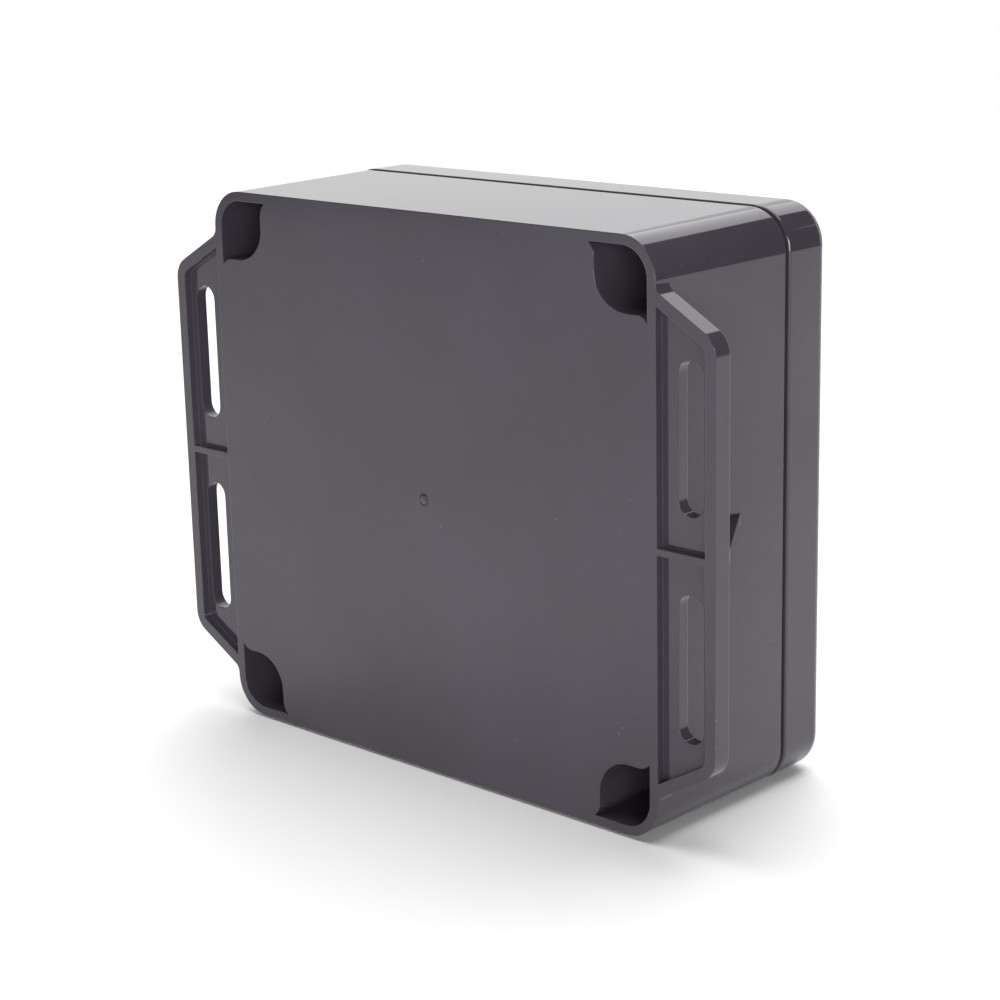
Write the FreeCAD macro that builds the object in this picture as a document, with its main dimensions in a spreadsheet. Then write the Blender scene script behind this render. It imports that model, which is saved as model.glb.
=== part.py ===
import FreeCAD, Part

import math
import os
import types

import Sketcher

# Wall-mounted mesh wifi node in a sealed box with two slotted side flanges.
#
# The origin is the centre of the flat back face that meets the wall. +Z is up, and the
# lid faces -Y, so "lift" below is a distance forward of the back face. Millimetres.

DRIVING_SIZES = {
    "body_width": 122.0,
    "body_height": 118.3,
    "corner_radius": 8.0,
    "draft_angle": 0.69,
    "base_depth": 39.4,
    "seam_gap": 1.3,
    "lid_depth": 12.9,
    "lid_front_radius": 3.0,
    "lid_back_radius": 0.5,
    "lid_wall": 2.5,
    "wall": 2.8,
    "back_wall": 2.5,
    "lid_growth": 0.62,
    "flange_reach": 13.8,
    "flange_root_half": 49.4,
    "flange_thick": 4.5,
    "flange_corner_radius": 5.0,
    "flange_root_radius": 2.4,
    "flange_edge_round": 0.4,
    "rim_width": 2.45,
    "recess_depth": 1.8,
    "rib_thick": 1.4,
    "slot_width": 6.0,
    "slot_length": 29.8,
    "slot_across": 67.8,
    "slot_up": 22.35,
    "gate_radius": 1.35,
    "gusset_thick": 2.6,
    "gusset_height": 0.75,
    "gusset_reach": 25.5,
    "leaf_inset": 2.0,
    "leaf_outer_radius": 6.0,
    "leaf_bulge": 14.7,
    "leaf_bulge_radius": 7.5,
    "leaf_tip_radius": 3.5,
    "leaf_tip_rise": 2.6,
    "leaf_tip_reach": 16.05,
    "leaf_wall": 2.8,
    "leaf_depth": 33.0,
    "leaf_floor": 3.0,
    "tongue_width": 1.2,
    "tongue_height": 3.5,
    "gasket_thick": 1.5,
    "lid_screw_inset": 7.8,
    "lid_screw_radius": 1.95,
    "lid_screw_length": 16.0,
    "lid_screw_head_radius": 3.5,
    "lid_screw_head": 2.6,
    "lid_screw_hole_radius": 2.25,
    "washer_thick": 1.0,
    "post_radius": 4.3,
    "insert_radius": 2.8,
    "insert_length": 8.0,
    "board_width": 84.0,
    "board_height": 92.0,
    "board_thick": 1.6,
    "board_lift": 8.5,
    "board_hole_across": 38.0,
    "board_hole_up": 42.0,
    "board_hole_radius": 1.6,
    "boss_radius": 3.4,
    "board_screw_radius": 1.2,
    "board_screw_length": 6.0,
    "shield_width": 32.0,
    "shield_height": 18.0,
    "shield_thick": 3.0,
    "shield_wall": 0.3,
    "shield_across": 19.0,
    "shield_up": 35.0,
    "sink_size": 32.0,
    "sink_base": 2.5,
    "sink_fin": 8.0,
    "sink_fin_thick": 1.2,
    "sink_across": 6.0,
    "sink_up": 6.0,
    "chip_thick": 1.4,
    "pad_thick": 0.8,
    "jack_width": 16.0,
    "jack_length": 18.0,
    "jack_thick": 13.5,
    "jack_across": -20.0,
    "jack_mouth": -38.0,
    "entry_lift": 20.0,
    "entry_radius": 7.8,
    "entry_lip_radius": 10.4,
    "entry_lip": 1.1,
    "entry_bore_radius": 2.6,
    "vent_across": 24.0,
    "vent_radius": 4.9,
    "vent_lip_radius": 6.6,
    "button_size": 6.0,
    "button_thick": 3.5,
    "plunger_radius": 1.7,
    "plunger_stroke": 0.25,
    "button_across": -36.0,
    "pipe_radius": 1.45,
    "pipe_across": 34.0,
    "pipe_up": -8.0,
    "antenna_height": 56.0,
    "antenna_span": 22.0,
    "antenna_thick": 0.8,
    "adhesive_thick": 1.0,
    "coax_radius": 0.65,
    "coax_bend": 3.5,
}

SIN30 = 0.5
COS30 = math.cos(math.radians(30.0))
TAN30 = math.tan(math.radians(30.0))
CORNERS = [(1, 1), (-1, 1), (-1, -1), (1, -1)]
SIDES = {"left": 1, "right": -1}

doc = FreeCAD.newDocument("MeshNode")


class Size:
    """A length together with the spreadsheet expression that gives it."""

    def __init__(self, value, text):
        self.value = value
        self.text = text

    def __add__(self, other):
        return combined(self, "+", other, value_of(self) + value_of(other))

    def __radd__(self, other):
        return combined(other, "+", self, value_of(other) + value_of(self))

    def __sub__(self, other):
        return combined(self, "-", other, value_of(self) - value_of(other))

    def __rsub__(self, other):
        return combined(other, "-", self, value_of(other) - value_of(self))

    def __mul__(self, other):
        return combined(self, "*", other, value_of(self) * value_of(other))

    __rmul__ = __mul__

    def __truediv__(self, other):
        return combined(self, "/", other, value_of(self) / value_of(other))

    def __neg__(self):
        return combined(0, "-", self, -self.value)


def value_of(size):
    return size.value if isinstance(size, Size) else float(size)


def text_of(size):
    return size.text if isinstance(size, Size) else f"{float(size):.6f}"


def combined(first, sign, second, value):
    return Size(value, f"({text_of(first)} {sign} {text_of(second)})")


def make_sheet():
    """Write the driving sizes into a sheet and return them as named Size values."""
    sheet = doc.addObject("Spreadsheet::Sheet", "Sizes")
    sizes = types.SimpleNamespace()
    for row, (alias, value) in enumerate(DRIVING_SIZES.items(), start=1):
        sheet.set(f"A{row}", alias.replace("_", " "))
        sheet.set(f"B{row}", str(value))
        sheet.setAlias(f"B{row}", alias)
        setattr(sizes, alias, Size(value, f"Sizes.{alias}"))
    doc.recompute()
    return sizes


def bind(item, prop, size):
    """Tie a property to the sheet."""
    item.setExpression(prop, text_of(size))


# ---------------------------------------------------------------- sketches and features


def origin_plane(body, role):
    return next(plane for plane in body.Origin.OriginFeatures if plane.Role == role)


class Outline:
    """A sketch on an origin plane whose every corner and radius is tied to the sheet."""

    def __init__(self, body, name, lift=0.0, plane="XZ_Plane"):
        self.sketch = body.newObject("Sketcher::SketchObject", name)
        self.sketch.AttachmentSupport = (origin_plane(body, plane), [""])
        self.sketch.MapMode = "FlatFace"
        bind(self.sketch, "AttachmentOffset.Base.z", lift)

    def _fix(self, kind, geometry, place, size):
        index = self.sketch.addConstraint(
            Sketcher.Constraint(kind, -1, 1, geometry, place, value_of(size))
        )
        self.sketch.setExpression(f"Constraints[{index}]", text_of(size))

    def _fix_radius(self, geometry, radius):
        index = self.sketch.addConstraint(
            Sketcher.Constraint("Radius", geometry, value_of(radius))
        )
        self.sketch.setExpression(f"Constraints[{index}]", text_of(radius))

    def circle(self, x, y, radius):
        centre = FreeCAD.Vector(value_of(x), value_of(y), 0)
        circle = Part.Circle(centre, FreeCAD.Vector(0, 0, 1), value_of(radius))
        geometry = self.sketch.addGeometry(circle, False)
        self._fix("DistanceX", geometry, 3, x)
        self._fix("DistanceY", geometry, 3, y)
        self._fix_radius(geometry, radius)

    def loop(self, points):
        """Closed loop. A point is (x, y), or (x, y, radius, turn) to reach it by an arc.

        turn is +1 for an arc that runs anticlockwise and -1 for a clockwise one.
        """
        ends = []
        for index, point in enumerate(points):
            before = points[index - 1]
            start = FreeCAD.Vector(value_of(before[0]), value_of(before[1]), 0)
            stop = FreeCAD.Vector(value_of(point[0]), value_of(point[1]), 0)
            if len(point) == 2:
                geometry = self.sketch.addGeometry(Part.LineSegment(start, stop), False)
                ends.append((geometry, 1, 2))
                continue
            radius, turn = point[2], point[3]
            arc = arc_between(start, stop, value_of(radius), turn)
            geometry = self.sketch.addGeometry(arc, False)
            ends.append((geometry, 1, 2) if turn > 0 else (geometry, 2, 1))
            self._fix_radius(geometry, radius)
        for index, (geometry, start_place, stop_place) in enumerate(ends):
            following = ends[(index + 1) % len(ends)]
            self.sketch.addConstraint(
                Sketcher.Constraint("Coincident", geometry, stop_place, following[0], following[1])
            )
            self._fix("DistanceX", geometry, stop_place, points[index][0])
            self._fix("DistanceY", geometry, stop_place, points[index][1])

    def rounded(self, x, y, width, height, radius):
        """Rectangle centred at x, y with round corners."""
        left, right = x - width / 2, x + width / 2
        low, high = y - height / 2, y + height / 2
        self.loop([
            (left + radius, low),
            (right - radius, low),
            (right, low + radius, radius, 1),
            (right, high - radius),
            (right - radius, high, radius, 1),
            (left + radius, high),
            (left, high - radius, radius, 1),
            (left, low + radius),
            (left + radius, low, radius, 1),
        ][1:])

    def rectangle(self, x, y, width, height):
        left, right = x - width / 2, x + width / 2
        low, high = y - height / 2, y + height / 2
        self.loop([(left, low), (right, low), (right, high), (left, high)])

    def upright_slot(self, x, y, width, length):
        """Round-ended slot that runs along the sketch's second axis."""
        radius = width / 2
        reach = length / 2 - radius
        self.loop([
            (x + radius, y + reach),
            (x, y + reach + radius, radius, 1),
            (x - radius, y + reach, radius, 1),
            (x - radius, y - reach),
            (x, y - reach - radius, radius, 1),
            (x + radius, y - reach, radius, 1),
        ])


def arc_between(start, stop, radius, turn):
    """Arc of under half a circle from start to stop, always stored anticlockwise."""
    if turn < 0:
        start, stop = stop, start
    chord = stop - start
    middle = (start + stop) * 0.5
    away = FreeCAD.Vector(-chord.y, chord.x, 0)
    away.normalize()
    height = math.sqrt(max(radius ** 2 - (chord.Length / 2) ** 2, 0.0))
    centre = middle + away * height
    first = math.atan2(start.y - centre.y, start.x - centre.x)
    last = math.atan2(stop.y - centre.y, stop.x - centre.x)
    circle = Part.Circle(centre, FreeCAD.Vector(0, 0, 1), radius)
    return Part.ArcOfCircle(circle, first, last)


def new_body(name):
    body = doc.addObject("PartDesign::Body", name)
    body.Label = name
    return body


def pad(body, outline, length, taper=None):
    """Add material forward of the sketch."""
    doc.recompute()
    feature = body.newObject("PartDesign::Pad", "Pad")
    feature.Profile = outline.sketch
    bind(feature, "Length", length)
    if taper is not None:
        bind(feature, "TaperAngle", taper)
    doc.recompute()
    return feature


def pocket(body, outline, depth, forward=False):
    """Cut backward from the sketch, or forward of it; each cut has to remove material."""
    doc.recompute()
    feature = body.newObject("PartDesign::Pocket", "Pocket")
    feature.Profile = outline.sketch
    feature.Reversed = forward
    bind(feature, "Length", depth)
    doc.recompute()
    if not feature.Shape.Volume < feature.BaseFeature.Shape.Volume - 1e-6:
        raise RuntimeError(f"{body.Label}: {outline.sketch.Name} cuts nothing")
    return feature


def fillet_edges(body, radius, wanted):
    """Round the edges of the body's tip for which wanted(edge) is true."""
    base = body.Tip
    names = [
        f"Edge{number}"
        for number, edge in enumerate(base.Shape.Edges, start=1)
        if wanted(edge)
    ]
    feature = body.newObject("PartDesign::Fillet", "Fillet")
    feature.Base = (base, names)
    bind(feature, "Radius", radius)
    doc.recompute()
    return feature


def place(item, x, y, z):
    bind(item, "Placement.Base.x", x)
    bind(item, "Placement.Base.y", y)
    bind(item, "Placement.Base.z", z)


def block(name, x, z, lift, width, height, thick):
    """Box centred at x, z whose back face is lift forward of the wall."""
    item = doc.addObject("Part::Box", name)
    bind(item, "Length", width)
    bind(item, "Width", thick)
    bind(item, "Height", height)
    place(item, x - width / 2, -(lift + thick), z - height / 2)
    return item


def peg(name, x, z, lift, radius, length):
    """Round peg that runs forward from lift."""
    item = doc.addObject("Part::Cylinder", name)
    item.Placement.Rotation = FreeCAD.Rotation(FreeCAD.Vector(1, 0, 0), 90)
    bind(item, "Radius", radius)
    bind(item, "Height", length)
    place(item, x, -lift, z)
    return item


def post_up(name, x, lift, z, radius, length):
    """Round post that runs upward from z."""
    item = doc.addObject("Part::Cylinder", name)
    bind(item, "Radius", radius)
    bind(item, "Height", length)
    place(item, x, -lift, z)
    return item


def cut(name, base, tool):
    item = doc.addObject("Part::Cut", name)
    item.Base = base
    item.Tool = tool
    return item


def fuse(name, items):
    item = doc.addObject("Part::MultiFuse", name)
    item.Shapes = items
    return item


def group(name, items):
    item = doc.addObject("Part::Compound", name)
    item.Links = items
    return item


# ---------------------------------------------------------------- shared outlines


def leaf(outline, dim, across, up):
    """Screw pocket in one corner, with a point along each of the two walls it lies against."""
    def at(along_x, along_z):
        return (
            across * (dim.body_width / 2 - along_x),
            up * (dim.body_height / 2 - along_z),
        )

    turn = -across * up
    inset = dim.leaf_inset
    start = inset + dim.leaf_outer_radius
    bulge = dim.leaf_bulge
    round_start = dim.leaf_bulge - dim.leaf_bulge_radius
    rise = inset + dim.leaf_tip_rise
    outline.loop([
        (*at(inset, start), dim.leaf_outer_radius, turn),
        at(inset, dim.leaf_tip_reach),
        (*at(rise, bulge), dim.leaf_tip_radius, -turn),
        at(round_start, bulge),
        (*at(bulge, round_start), dim.leaf_bulge_radius, turn),
        at(bulge, rise),
        (*at(dim.leaf_tip_reach, inset), dim.leaf_tip_radius, -turn),
        at(start, inset),
    ])


def compartment(outline, dim, grow=0.0):
    """Sealed room: the inside of the walls, less the four screw pockets and their walls."""
    half_width = dim.body_width / 2 - dim.wall + grow
    half_height = dim.body_height / 2 - dim.wall + grow
    step = dim.leaf_bulge + dim.leaf_wall - grow
    bend = dim.leaf_bulge - dim.leaf_bulge_radius
    radius = dim.leaf_bulge_radius + dim.leaf_wall - grow
    step_x = dim.body_width / 2 - step
    step_z = dim.body_height / 2 - step
    bend_x = dim.body_width / 2 - bend
    bend_z = dim.body_height / 2 - bend
    points = []
    for across, up in CORNERS:
        by_side_wall = [
            (across * half_width, up * step_z),
            (across * bend_x, up * step_z),
        ]
        by_end_wall = [
            (across * step_x, up * bend_z),
            (across * step_x, up * half_height),
        ]
        if across * up > 0:
            path = by_side_wall + by_end_wall
        else:
            path = by_end_wall[::-1] + by_side_wall[::-1]
        x, z = path[2]
        path[2] = (x, z, radius, -1)
        points.extend(path)
    outline.loop(points)


def corner_spots(dim):
    """Centres of the four lid screws."""
    return [
        (
            across * (dim.body_width / 2 - dim.lid_screw_inset),
            up * (dim.body_height / 2 - dim.lid_screw_inset),
        )
        for across, up in CORNERS
    ]


def board_spots(dim):
    """Centres of the four board screws."""
    return [(across * dim.board_hole_across, up * dim.board_hole_up) for across, up in CORNERS]


# ---------------------------------------------------------------- housing


def flange_outline(outline, dim, across):
    """Side flange: sloping ends that meet the box wall in a hollow round."""
    wall_x = dim.body_width / 2
    tip_x = wall_x + dim.flange_reach
    root = dim.flange_root_half
    tip = root - dim.flange_reach * TAN30
    hollow = dim.flange_root_radius * TAN30
    corner = dim.flange_corner_radius * TAN30
    points = [
        (across * (wall_x - 1.0), -(root + hollow)),
        (across * wall_x, -(root + hollow)),
        (across * (wall_x + hollow * COS30), -(root - hollow * SIN30), dim.flange_root_radius, -across),
        (across * (tip_x - corner * COS30), -(tip + corner * SIN30)),
        (across * tip_x, -(tip - corner), dim.flange_corner_radius, across),
        (across * tip_x, tip - corner),
        (across * (tip_x - corner * COS30), tip + corner * SIN30, dim.flange_corner_radius, across),
        (across * (wall_x + hollow * COS30), root - hollow * SIN30),
        (across * wall_x, root + hollow, dim.flange_root_radius, -across),
        (across * (wall_x - 1.0), root + hollow),
    ]
    outline.loop(points)


def recess_outline(outline, dim, across, up):
    """Shallow recess in the back of a flange, above or below its middle rib."""
    wall_x = dim.body_width / 2
    outer_x = wall_x + dim.flange_reach - dim.rim_width
    slope_drop = dim.rim_width / COS30
    inner_top = dim.flange_root_half - slope_drop
    outer_top = inner_top - (outer_x - wall_x) * TAN30
    corner = 2.0
    outline.loop([
        (across * wall_x, up * dim.rib_thick / 2),
        (across * outer_x, up * dim.rib_thick / 2),
        (across * outer_x, up * (outer_top - corner * TAN30)),
        (
            across * (outer_x - corner * TAN30 * COS30),
            up * (outer_top + corner * TAN30 * SIN30),
            corner,
            across * up,
        ),
        (across * wall_x, up * inner_top),
    ])


def make_flanges(body, dim):
    outline = Outline(body, "FlangeOutline")
    for across in (1, -1):
        flange_outline(outline, dim, across)
    pad(body, outline, dim.flange_thick)
    front_y = -value_of(dim.flange_thick)
    wall = value_of(dim.body_width) / 2
    fillet_edges(
        body,
        dim.flange_edge_round,
        lambda edge: abs(edge.BoundBox.YMin - front_y) < 0.01
        and abs(edge.BoundBox.YMax - front_y) < 0.01
        and abs(edge.CenterOfMass.x) > wall + 1.5,
    )

    gusset = Outline(body, "GussetOutline", dim.gusset_height - dim.gusset_thick / 2, "XY_Plane")
    wall_x = dim.body_width / 2
    tip_x = wall_x + dim.flange_reach - 0.1
    for across in (1, -1):
        gusset.loop([
            (across * (wall_x - 1.0), -dim.flange_thick + 0.8),
            (across * tip_x, -dim.flange_thick + 0.8),
            (across * tip_x, -dim.flange_thick),
            (across * (wall_x + 0.3), -dim.gusset_reach),
            (across * (wall_x - 1.0), -dim.gusset_reach),
        ])
    pad(body, gusset, dim.gusset_thick)

    recess = Outline(body, "RecessOutline")
    slots = Outline(body, "SlotOutline")
    for across, up in CORNERS:
        recess_outline(recess, dim, across, up)
        slots.upright_slot(across * dim.slot_across, up * dim.slot_up, dim.slot_width, dim.slot_length)
    pocket(body, recess, dim.recess_depth, forward=True)
    pocket(body, slots, dim.flange_thick + 1.0, forward=True)


def make_housing(dim):
    body = new_body("rear_housing")
    shell = Outline(body, "ShellOutline")
    shell.rounded(0, 0, dim.body_width, dim.body_height, dim.corner_radius)
    pad(body, shell, dim.base_depth, taper=dim.draft_angle)
    make_flanges(body, dim)

    room = Outline(body, "RoomOutline", dim.base_depth)
    compartment(room, dim)
    pocket(body, room, dim.base_depth - dim.back_wall)

    tongue = Outline(body, "TongueOutline", dim.base_depth)
    compartment(tongue, dim, dim.tongue_width)
    compartment(tongue, dim)
    pad(body, tongue, dim.tongue_height)

    back_leaves = Outline(body, "BackLeaves")
    front_leaves = Outline(body, "FrontLeaves", dim.base_depth)
    for across, up in CORNERS:
        leaf(back_leaves, dim, across, up)
        leaf(front_leaves, dim, across, up)
    pocket(body, back_leaves, dim.leaf_depth, forward=True)
    pocket(body, front_leaves, dim.base_depth - dim.leaf_depth - dim.leaf_floor)

    screw_holes = Outline(body, "LidScrewHoles", dim.leaf_depth + dim.leaf_floor)
    for x, z in corner_spots(dim):
        screw_holes.circle(x, z, dim.lid_screw_hole_radius)
    pocket(body, screw_holes, dim.leaf_floor)

    bosses = Outline(body, "BossOutline", dim.back_wall)
    pilots = Outline(body, "PilotOutline", dim.board_lift)
    for x, z in board_spots(dim):
        bosses.circle(x, z, dim.boss_radius)
        pilots.circle(x, z, dim.board_screw_radius + 0.05)
    pad(body, bosses, dim.board_lift - dim.back_wall)
    pocket(body, pilots, dim.board_screw_length)

    gate = Outline(body, "GateMark")
    gate.circle(0, 0, dim.gate_radius)
    gate.circle(0, 0, dim.gate_radius - 0.35)
    pocket(body, gate, 0.15, forward=True)

    openings = Outline(body, "BottomOpenings", -dim.body_height / 2 + 6.0, "XY_Plane")
    openings.circle(dim.jack_across, -dim.entry_lift, dim.entry_radius)
    openings.circle(dim.vent_across, -dim.entry_lift, dim.vent_radius)
    pocket(body, openings, 8.0)
    seats = Outline(body, "BottomSeats", -dim.body_height / 2 + dim.entry_lip, "XY_Plane")
    seats.circle(dim.jack_across, -dim.entry_lift, dim.entry_lip_radius + 0.1)
    seats.circle(dim.vent_across, -dim.entry_lift, dim.vent_lip_radius + 0.1)
    pocket(body, seats, 3.0)
    return body


# ---------------------------------------------------------------- lid and its seal


def make_lid(dim):
    body = new_body("front_lid")
    back = dim.base_depth + dim.seam_gap
    front = back + dim.lid_depth
    shell = Outline(body, "ShellOutline", back)
    shell.rounded(
        0,
        0,
        dim.body_width + 2 * dim.lid_growth,
        dim.body_height + 2 * dim.lid_growth,
        dim.corner_radius + dim.lid_growth,
    )
    pad(body, shell, dim.lid_depth)
    for radius, rim_lift in ((dim.lid_front_radius, front), (dim.lid_back_radius, back)):
        rim_y = -value_of(rim_lift)
        fillet_edges(
            body,
            radius,
            lambda edge: abs(edge.BoundBox.YMax - rim_y) < 0.01
            and abs(edge.BoundBox.YMin - rim_y) < 0.01,
        )

    room = Outline(body, "RoomOutline", back)
    compartment(room, dim, -1.8)
    pocket(body, room, dim.lid_depth - dim.lid_wall, forward=True)

    groove = Outline(body, "GrooveOutline", back)
    compartment(groove, dim, dim.tongue_width + 0.1)
    compartment(groove, dim, -0.2)
    pocket(body, groove, dim.tongue_height + dim.gasket_thick - dim.seam_gap, forward=True)

    coring = Outline(body, "CornerCoring", back)
    posts = Outline(body, "PostOutline", dim.leaf_depth + dim.leaf_floor + 0.1)
    inserts = Outline(body, "InsertHoles", dim.leaf_depth + dim.leaf_floor + 0.1)
    for across, up in CORNERS:
        leaf(coring, dim, across, up)
    for x, z in corner_spots(dim):
        posts.circle(x, z, dim.post_radius)
        inserts.circle(x, z, dim.insert_radius)
    pocket(body, coring, dim.lid_depth - dim.lid_wall - 1.0, forward=True)
    pad(body, posts, front - dim.lid_wall - (dim.leaf_depth + dim.leaf_floor + 0.1))
    pocket(body, inserts, dim.lid_screw_length - dim.leaf_floor + 0.5, forward=True)

    pipe_seat = Outline(body, "PipeSeat", front)
    pipe_seat.circle(dim.pipe_across, dim.pipe_up, dim.pipe_radius + 0.8)
    pocket(body, pipe_seat, 1.0)
    pipe_hole = Outline(body, "PipeHole", front)
    pipe_hole.circle(dim.pipe_across, dim.pipe_up, dim.pipe_radius)
    pocket(body, pipe_hole, dim.lid_wall + 0.5)
    return body


def make_gasket(dim):
    body = new_body("lid_gasket")
    ring = Outline(body, "RingOutline", dim.base_depth + dim.tongue_height)
    compartment(ring, dim, dim.tongue_width + 0.05)
    compartment(ring, dim, -0.15)
    pad(body, ring, dim.gasket_thick)
    return body


def make_light_pipe(dim):
    """Clear rod that carries the status light from the board to the lid's face."""
    front = dim.base_depth + dim.seam_gap + dim.lid_depth
    start = dim.board_lift + dim.board_thick + 1.6
    rod = peg("PipeRod", dim.pipe_across, dim.pipe_up, start, dim.pipe_radius, front - start)
    head = peg("PipeHead", dim.pipe_across, dim.pipe_up, front - 1.0, dim.pipe_radius + 0.8, 1.0)
    return fuse("light_pipe", [rod, head])


def make_lid_screws(dim):
    """Pan-head screws with a hexagon socket, driven from the back."""
    screws = []
    head_back = dim.leaf_depth - dim.washer_thick - dim.lid_screw_head
    for number, (x, z) in enumerate(corner_spots(dim), start=1):
        head = peg(f"Head{number}", x, z, head_back, dim.lid_screw_head_radius, dim.lid_screw_head)
        shank = peg(
            f"Shank{number}", x, z, head_back + 1.0, dim.lid_screw_radius,
            dim.lid_screw_length + dim.lid_screw_head - 1.0,
        )
        socket = doc.addObject("Part::Prism", f"Socket{number}")
        socket.Polygon = 6
        socket.Placement.Rotation = FreeCAD.Rotation(FreeCAD.Vector(1, 0, 0), 90)
        bind(socket, "Circumradius", dim.lid_screw_radius * 0.85)
        bind(socket, "Height", 1.8)
        place(socket, x, -head_back, z)
        screws.append(cut(f"Screw{number}", fuse(f"ScrewBlank{number}", [head, shank]), socket))
    return group("lid_screws", screws)


def make_rings(name, dim, spots, lift, outer, inner, length):
    """One ring around each spot."""
    rings = []
    for number, (x, z) in enumerate(spots, start=1):
        body = peg(f"{name}Body{number}", x, z, lift, outer, length)
        bore = peg(f"{name}Bore{number}", x, z, lift, inner, length)
        rings.append(cut(f"{name}{number}", body, bore))
    return group(name, rings)


# ---------------------------------------------------------------- board and its parts


def make_board(dim):
    body = new_body("main_board")
    outline = Outline(body, "BoardOutline", dim.board_lift)
    outline.rounded(0, 0, dim.board_width, dim.board_height, 2.0)
    for x, z in board_spots(dim):
        outline.circle(x, z, dim.board_hole_radius)
    pad(body, outline, dim.board_thick)
    return body


def make_board_screws(dim):
    screws = []
    face = dim.board_lift + dim.board_thick
    for number, (x, z) in enumerate(board_spots(dim), start=1):
        head = peg(f"BoardHead{number}", x, z, face, 2.8, 1.9)
        shank = peg(
            f"BoardShank{number}", x, z, face - dim.board_screw_length, dim.board_screw_radius,
            dim.board_screw_length,
        )
        blank = fuse(f"BoardBlank{number}", [head, shank])
        arms = [
            block(f"DriveWide{number}", x, z, face + 0.9, 3.0, 0.7, 1.2),
            block(f"DriveTall{number}", x, z, face + 0.9, 0.7, 3.0, 1.2),
        ]
        drive = fuse(f"Drive{number}", arms)
        screws.append(cut(f"BoardScrew{number}", blank, drive))
    return group("board_screws", screws)


def make_shield(side, across, dim):
    """Pressed radio can: open towards the board, with rows of small vents."""
    body = new_body(f"radio_shield_{side}")
    x = across * dim.shield_across
    face = dim.board_lift + dim.board_thick
    outer = Outline(body, "CanOutline", face)
    outer.rounded(x, dim.shield_up, dim.shield_width, dim.shield_height, 1.0)
    pad(body, outer, dim.shield_thick)
    inner = Outline(body, "CanInside", face)
    inner.rounded(
        x,
        dim.shield_up,
        dim.shield_width - 2 * dim.shield_wall,
        dim.shield_height - 2 * dim.shield_wall,
        0.7,
    )
    pocket(body, inner, dim.shield_thick - dim.shield_wall, forward=True)
    vents = Outline(body, "CanVents", face + dim.shield_thick)
    for column in range(-3, 4):
        for row in range(-1, 2):
            vents.circle(x + column * 4.0, dim.shield_up + row * 4.5, 0.7)
    pocket(body, vents, 1.0)
    return body


def make_heat_sink(dim):
    body = new_body("heat_sink")
    lift = dim.board_lift + dim.board_thick + dim.chip_thick + dim.pad_thick
    base = Outline(body, "SinkBase", lift)
    base.rectangle(dim.sink_across, dim.sink_up, dim.sink_size, dim.sink_size)
    pad(body, base, dim.sink_base)
    fins = Outline(body, "SinkFins", lift + dim.sink_base)
    fin_count = 9
    pitch = (dim.sink_size - dim.sink_fin_thick) / (fin_count - 1)
    for number in range(fin_count):
        x = dim.sink_across - dim.sink_size / 2 + dim.sink_fin_thick / 2 + number * pitch
        fins.rectangle(x, dim.sink_up, dim.sink_fin_thick, dim.sink_size)
    pad(body, fins, dim.sink_fin)
    return body


def make_jack(dim):
    """Eight-way socket whose mouth faces down, towards the cable entry."""
    body = new_body("ethernet_jack")
    face = dim.board_lift + dim.board_thick
    middle = dim.jack_mouth + dim.jack_length / 2
    shell = Outline(body, "JackOutline", face)
    shell.rounded(dim.jack_across, middle, dim.jack_width, dim.jack_length, 0.5)
    pad(body, shell, dim.jack_thick)
    mouth = Outline(body, "JackMouth", dim.jack_mouth, "XY_Plane")
    centre = -(face + dim.jack_thick / 2)
    x = dim.jack_across
    mouth.loop([
        (x - 5.9, centre - 4.0),
        (x - 3.0, centre - 4.0),
        (x - 3.0, centre - 5.4),
        (x + 3.0, centre - 5.4),
        (x + 3.0, centre - 4.0),
        (x + 5.9, centre - 4.0),
        (x + 5.9, centre + 3.6),
        (x - 5.9, centre + 3.6),
    ])
    pocket(body, mouth, 13.5, forward=True)
    return body


def make_jack_contacts(dim):
    """Eight sprung wires along the back of the socket's mouth."""
    face = dim.board_lift + dim.board_thick
    lift = face + dim.jack_thick / 2 - 3.6
    wires = []
    for number in range(8):
        x = dim.jack_across + (number - 3.5) * 1.02
        wires.append(block(f"Contact{number}", x, dim.jack_mouth + 7.5, lift, 0.45, 9.0, 0.6))
    return group("jack_contacts", wires)


def make_power_transformer(dim):
    face = dim.board_lift + dim.board_thick
    core = block("Core", 8.0, -24.0, face + 1.2, 14.0, 12.0, 8.6)
    bobbin = block("Bobbin", 8.0, -24.0, face, 9.0, 16.0, 10.0)
    return fuse("power_transformer", [core, bobbin])


def make_capacitors(dim):
    """Two upright cans with a rolled groove near the board."""
    cans = []
    face = dim.board_lift + dim.board_thick
    for number, z in enumerate((-22.0, -33.0), start=1):
        parts = [
            peg(f"CanFoot{number}", 24.0, z, face, 4.2, 1.4),
            peg(f"CanNeck{number}", 24.0, z, face + 1.4, 3.8, 0.8),
            peg(f"CanWall{number}", 24.0, z, face + 2.2, 4.0, 9.0),
        ]
        cans.append(fuse(f"Can{number}", parts))
    return group("power_capacitors", cans)


def make_inductor(dim):
    face = dim.board_lift + dim.board_thick
    base = block("InductorBase", 8.0, -39.0, face, 10.0, 8.5, 1.0)
    winding = peg("InductorWinding", 8.0, -39.0, face + 1.0, 3.9, 3.2)
    cap = peg("InductorCap", 8.0, -39.0, face + 4.2, 4.2, 0.8)
    return fuse("power_inductor", [base, winding, cap])


def make_passives(dim):
    """Rows of small chip parts below the heat sink."""
    face = dim.board_lift + dim.board_thick
    chips = []
    for row in range(2):
        for column in range(8):
            x = -7.0 + 3.6 * column
            chips.append(block(f"Chip{row}{column}", x, -12.4 - 2.2 * row, face, 1.6, 0.8, 0.6))
    return group("chip_passives", chips)


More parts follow.
